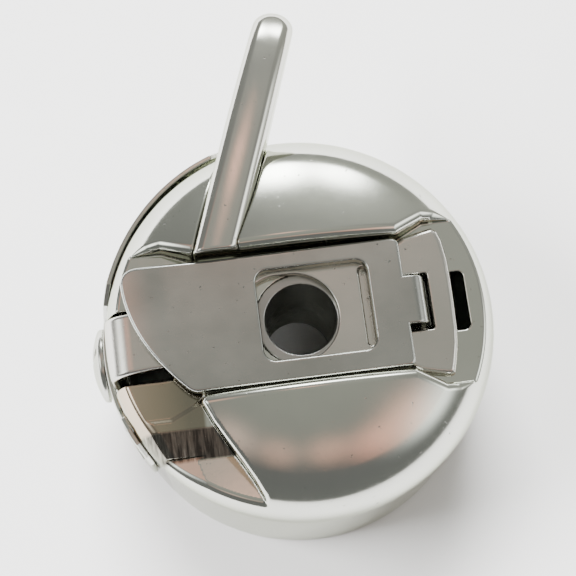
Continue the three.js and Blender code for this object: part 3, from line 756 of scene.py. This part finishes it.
# --------------------------------------------------------------------- studio
def add_floor():
    paper = bpy.data.materials.new("pale_paper")
    paper.use_nodes = True
    tree = paper.node_tree
    shader = tree.nodes["Principled BSDF"]
    place = add_node(tree, "TexCoord").outputs["Object"]
    mottle = noise(tree, place, scale=60, detail=4, roughness=0.6)
    tone = ramp(tree, mottle, [(0.3, (0.80, 0.80, 0.805)), (0.7, (0.83, 0.83, 0.83))])
    tree.links.new(tone, shader.inputs["Base Color"])
    shader.inputs["Roughness"].default_value = 0.85
    shader.inputs["Specular IOR Level"].default_value = 0.2
    me = bpy.data.meshes.new("paper_floor")
    me.from_pydata([(-0.5, -0.5, 0), (0.5, -0.5, 0), (0.5, 0.5, 0), (-0.5, 0.5, 0)], [],
                   [(0, 1, 2, 3)])
    me.materials.append(paper)
    floor = add_object("paper_floor", me)
    floor.location = (0, 0, -0.00002)    # just clear of the rim


# The view looks down on the top, from a little to the -y side.
VIEW_TILT_X, VIEW_TILT_Y, VIEW_SPIN = -0.260268, 0.0158348, 7.3 * RAD
VIEW_CENTRE_Z = 11.8                                # point on the axis the case turns about
VIEW_OFFSET = (0.727992, -2.095085, -84.354704)     # that point in camera axes


def add_camera():
    data = bpy.data.cameras.new("view")
    camera = add_object("view", data)
    turn = (Matrix.Rotation(VIEW_TILT_X, 3, "X") @ Matrix.Rotation(VIEW_TILT_Y, 3, "Y")
            @ Matrix.Rotation(VIEW_SPIN, 3, "Z"))
    offset = turn @ Vector((0, 0, -VIEW_CENTRE_Z)) + Vector(VIEW_OFFSET)
    to_view = Matrix.Translation(offset / 1000) @ turn.to_4x4()
    to_axis = Matrix.Translation((AXIS[0] / 1000, AXIS[1] / 1000, 0))
    camera.matrix_world = to_axis @ to_view.inverted()
    data.sensor_width = 36.0
    data.lens = 90.625
    data.clip_start = 0.001
    data.clip_end = 10
    bpy.context.scene.camera = camera


# room brightness from straight down (0) to straight up (1)
ROOM = [
    (0.0, (0.62, 0.62, 0.60)), (0.47, (0.60, 0.605, 0.58)), (0.52, (0.225, 0.23, 0.22)),
    (0.75, (0.21, 0.215, 0.21)), (0.905, (0.215, 0.215, 0.21)), (0.95, (0.38, 0.38, 0.345)),
    (1.0, (0.43, 0.44, 0.39))]
# soft shapes seen in the plating: azimuth from +x towards +y, elevation, half width
# (all in degrees), firmness of the edge, added colour
GLOWS = [
    (88, 30, 6.5, 2.6, (18.0, 18.5, 18.0)), (71, 29, 6, 2.6, (12.0, 12.3, 12.0)),
    (78, 32, 15, 2.2, (0.75, 0.78, 0.70)), (72, 8, 58, 3.0, (0.20, 0.205, 0.18)),
    (-24, 37, 12, 2.2, (2.0, 2.1, 2.0)), (-36, 52, 9, 2.5, (1.1, 0.52, 0.34)),
    (-56, 57, 6, 2.5, (0.75, 0.31, 0.20)), (-78, 62, 5, 2.5, (0.60, 0.26, 0.16)),
    (-108, 62, 5, 2.5, (0.50, 0.24, 0.16)), (-137, 60, 6, 2.5, (0.62, 0.40, 0.32)),
    (0, 33, 10, 3.0, (2.4, 2.45, 2.35)), (4, 18, 12, 3.0, (0.6, 0.6, 0.56)),
    (25, 12, 40, 3.0, (0.10, 0.10, 0.08)), (176, 34, 13, 3.0, (4.0, 4.1, 3.9)),
    (86, 68, 3.8, 3.0, (1.25, 0.60, 0.42)), (150, 60, 9, 3.0, (0.75, 0.34, 0.22)),
    (84, 52, 7, 2.5, (-0.10, -0.09, -0.10))]


def glow_factor(tree, direction, azimuth, elevation, width, firmness):
    """1 at the centre, a half at the given width."""
    level = math.cos(elevation * RAD)
    aim = (level * math.cos(azimuth * RAD), level * math.sin(azimuth * RAD),
           math.sin(elevation * RAD))
    dot = add_node(tree, "VectorMath", {0: direction, 1: aim}, operation="DOT_PRODUCT")
    angle = calc(tree, "ARCCOSINE", calc(tree, "MINIMUM", dot.outputs["Value"], 0.999999))
    spread = calc(tree, "POWER", calc(tree, "DIVIDE", angle, width * RAD), firmness)
    return calc(tree, "POWER", 0.5, spread)


def add_room():
    world = bpy.data.worlds.new("room")
    bpy.context.scene.world = world
    world.use_nodes = True
    tree = world.node_tree
    tree.nodes.clear()
    output = add_node(tree, "OutputWorld")
    background = add_node(tree, "Background", {"Strength": 1.0})
    tree.links.new(background.outputs[0], output.inputs[0])
    place = add_node(tree, "TexCoord").outputs["Generated"]
    direction = add_node(tree, "VectorMath", {0: place}, operation="NORMALIZE").outputs[0]
    height = add_node(tree, "SeparateXYZ", {0: direction}).outputs["Z"]
    color = ramp(tree, calc(tree, "MULTIPLY_ADD", height, 0.5, 0.5), ROOM)
    for *lobe, tint in GLOWS:
        color = mix(tree, glow_factor(tree, direction, *lobe), color, (*tint, 1),
                    blend_type="ADD", clamp_factor=False)
    tree.links.new(color, background.inputs["Color"])


def add_light(name, place, side, power):
    """Square area light aimed at the case and kept out of reflections."""
    bpy.ops.object.light_add(type="AREA", location=[c / 1000 for c in place])
    light = bpy.context.object
    light.name = name
    light.data.shape = "RECTANGLE"
    light.data.size = light.data.size_y = side / 1000
    light.data.energy = power
    aim = Vector((0, 0, 8)) - Vector(place)
    light.rotation_euler = aim.to_track_quat("-Z", "Y").to_euler()
    light.visible_glossy = False


add_floor()
add_camera()
add_room()
add_light("key_window", place=(-20, 330, 420), side=260, power=9.0)
add_light("key_left", place=(-330, 40, 330), side=200, power=4.6)
